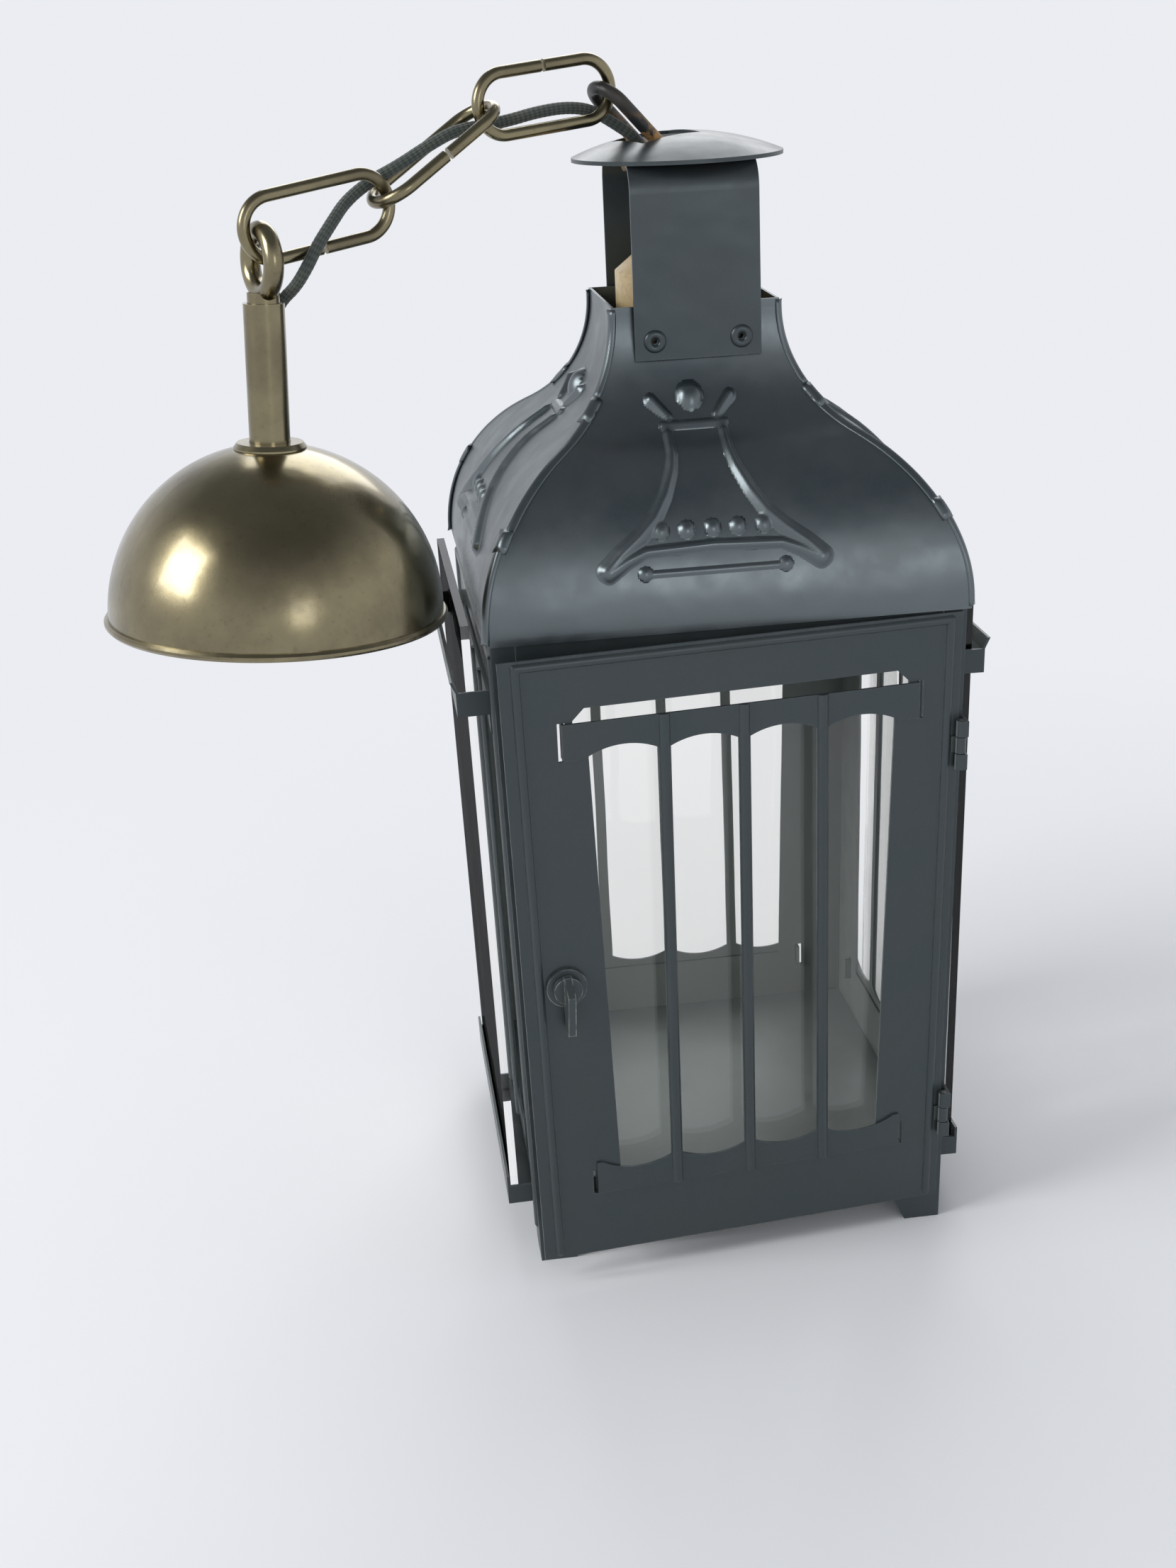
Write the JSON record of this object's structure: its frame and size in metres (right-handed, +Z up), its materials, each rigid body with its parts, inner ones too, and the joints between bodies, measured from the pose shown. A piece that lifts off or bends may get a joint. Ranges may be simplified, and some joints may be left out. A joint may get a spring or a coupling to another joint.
{
  "type": "hanging lantern",
  "caption": "Square sheet-metal hanging lantern with a barred glazed door, lift-out side panes, ogee roof, open neck with lampholder, and a brass chain, stem and ceiling cup.",
  "frame": {"origin": "middle of the floor plate's upper face, where a light stands", "axes": "+Z up through the neck, -Y out of the door, +X towards the hinge side"},
  "size_m": [0.2607, 0.1888, 0.3684],
  "materials": {
    "black_paint": "satin blue-black paint, slightly worn",
    "glass": "clear",
    "brass": "aged, satin, spotted with brown tarnish",
    "dark_iron": "blackened",
    "steel": "dull zinc",
    "cream": "satin cream",
    "flex_fabric": "braided grey-green"
  },
  "bodies": {
    "lantern": {"left_panel": "black_paint", "right_panel": "black_paint", "back_panel": "black_paint", "left_grille": "black_paint", "right_grille": "black_paint", "back_grille": "black_paint", "left_upper_strap": "black_paint", "right_upper_strap": "black_paint", "back_upper_strap": "black_paint", "left_lower_strap": "black_paint", "right_lower_strap": "black_paint", "back_lower_strap": "black_paint", "front_header": "black_paint", "floor_plate": "black_paint", "hinge_leaves": "black_paint", "hinge_pins": "steel", "roof_front": "black_paint", "roof_right": "black_paint", "roof_back": "black_paint", "roof_left": "black_paint", "neck_strap": "black_paint", "neck_rivets": "black_paint", "cap": "black_paint", "hanger_pin": "dark_iron", "holder_bridge": "steel", "nipple": "steel", "nipple_nuts": "steel", "holder_cap": "cream", "holder_body": "cream", "holder_ring": "cream", "screw_shell": "brass", "centre_contact": "brass", "flex_1": "flex_fabric"},
    "door": {"door_panel": "black_paint", "door_grille": "black_paint", "door_glass": "glass", "door_upper_strap": "black_paint", "door_lower_strap": "black_paint", "latch_plate": "black_paint"},
    "latch": {"latch_knob": "black_paint", "latch_tongue": "black_paint"},
    "left_glass": {"left_glass": "glass"},
    "right_glass": {"right_glass": "glass"},
    "back_glass": {"back_glass": "glass"},
    "hanger": {"hanger_link": "dark_iron", "flex_2": "flex_fabric"},
    "link_2": {"chain_link_2": "brass", "flex_3": "flex_fabric"},
    "link_3": {"chain_link_3": "brass", "flex_4": "flex_fabric"},
    "link_4": {"chain_link_4": "brass", "flex_5": "flex_fabric"},
    "cup": {"stem_eye": "brass", "stem": "brass", "stem_washer": "brass", "ceiling_cup": "brass", "stem_nut": "brass"}
  },
  "joints": [
    {"name": "door_hinge", "type": "hinge", "parent": "lantern", "child": "door", "pos_m": [0.06748, -0.07128, 0.08593], "axis": [0.0189, -0.0189, 0.9996], "range_deg": [-5.2, 100]},
    {"name": "latch_turn", "type": "hinge", "parent": "door", "child": "latch", "pos_m": [-0.05495, -0.08073, 0.08674], "axis": [-0.0906, 0.9957, 0.0205], "range_deg": [0, 90]},
    {"name": "left_glass_lift", "type": "slide", "parent": "lantern", "child": "left_glass", "axis": [-0.0189, 0, 0.9998], "range_m": [0, 0.11]},
    {"name": "right_glass_lift", "type": "slide", "parent": "lantern", "child": "right_glass", "axis": [0.0189, 0, 0.9998], "range_m": [0, 0.11]},
    {"name": "back_glass_lift", "type": "slide", "parent": "lantern", "child": "back_glass", "axis": [0, 0.0189, 0.9998], "range_m": [0, 0.11]},
    {"name": "hanger_swing", "type": "hinge", "parent": "lantern", "child": "hanger", "pos_m": [0, 0, 0.31335], "axis": [-0.4067, 0.9135, 0], "range_deg": [0, 45], "deforming": ["flex_1"]},
    {"name": "link_2_swing", "type": "hinge", "parent": "hanger", "child": "link_2", "pos_m": [-0.02456, -0.01094, 0.33949], "axis": [-0.4067, 0.9135, 0], "range_deg": [0, 48], "deforming": ["flex_2"]},
    {"name": "link_3_swing", "type": "hinge", "parent": "link_2", "child": "link_3", "pos_m": [-0.05748, -0.02559, 0.33659], "axis": [-0.4067, 0.9135, 0], "range_deg": [0, 26], "deforming": ["flex_3"]},
    {"name": "link_4_swing", "type": "hinge", "parent": "link_3", "child": "link_4", "pos_m": [-0.09179, -0.04087, 0.31367], "axis": [-0.4067, 0.9135, 0], "range_deg": [0, 15], "deforming": ["flex_4"]},
    {"name": "cup_swing", "type": "hinge", "parent": "link_4", "child": "cup", "pos_m": [-0.12388, -0.05516, 0.30929], "axis": [-0.4067, 0.9135, 0], "range_deg": [0, 40], "deforming": ["flex_5"]}
  ]
}
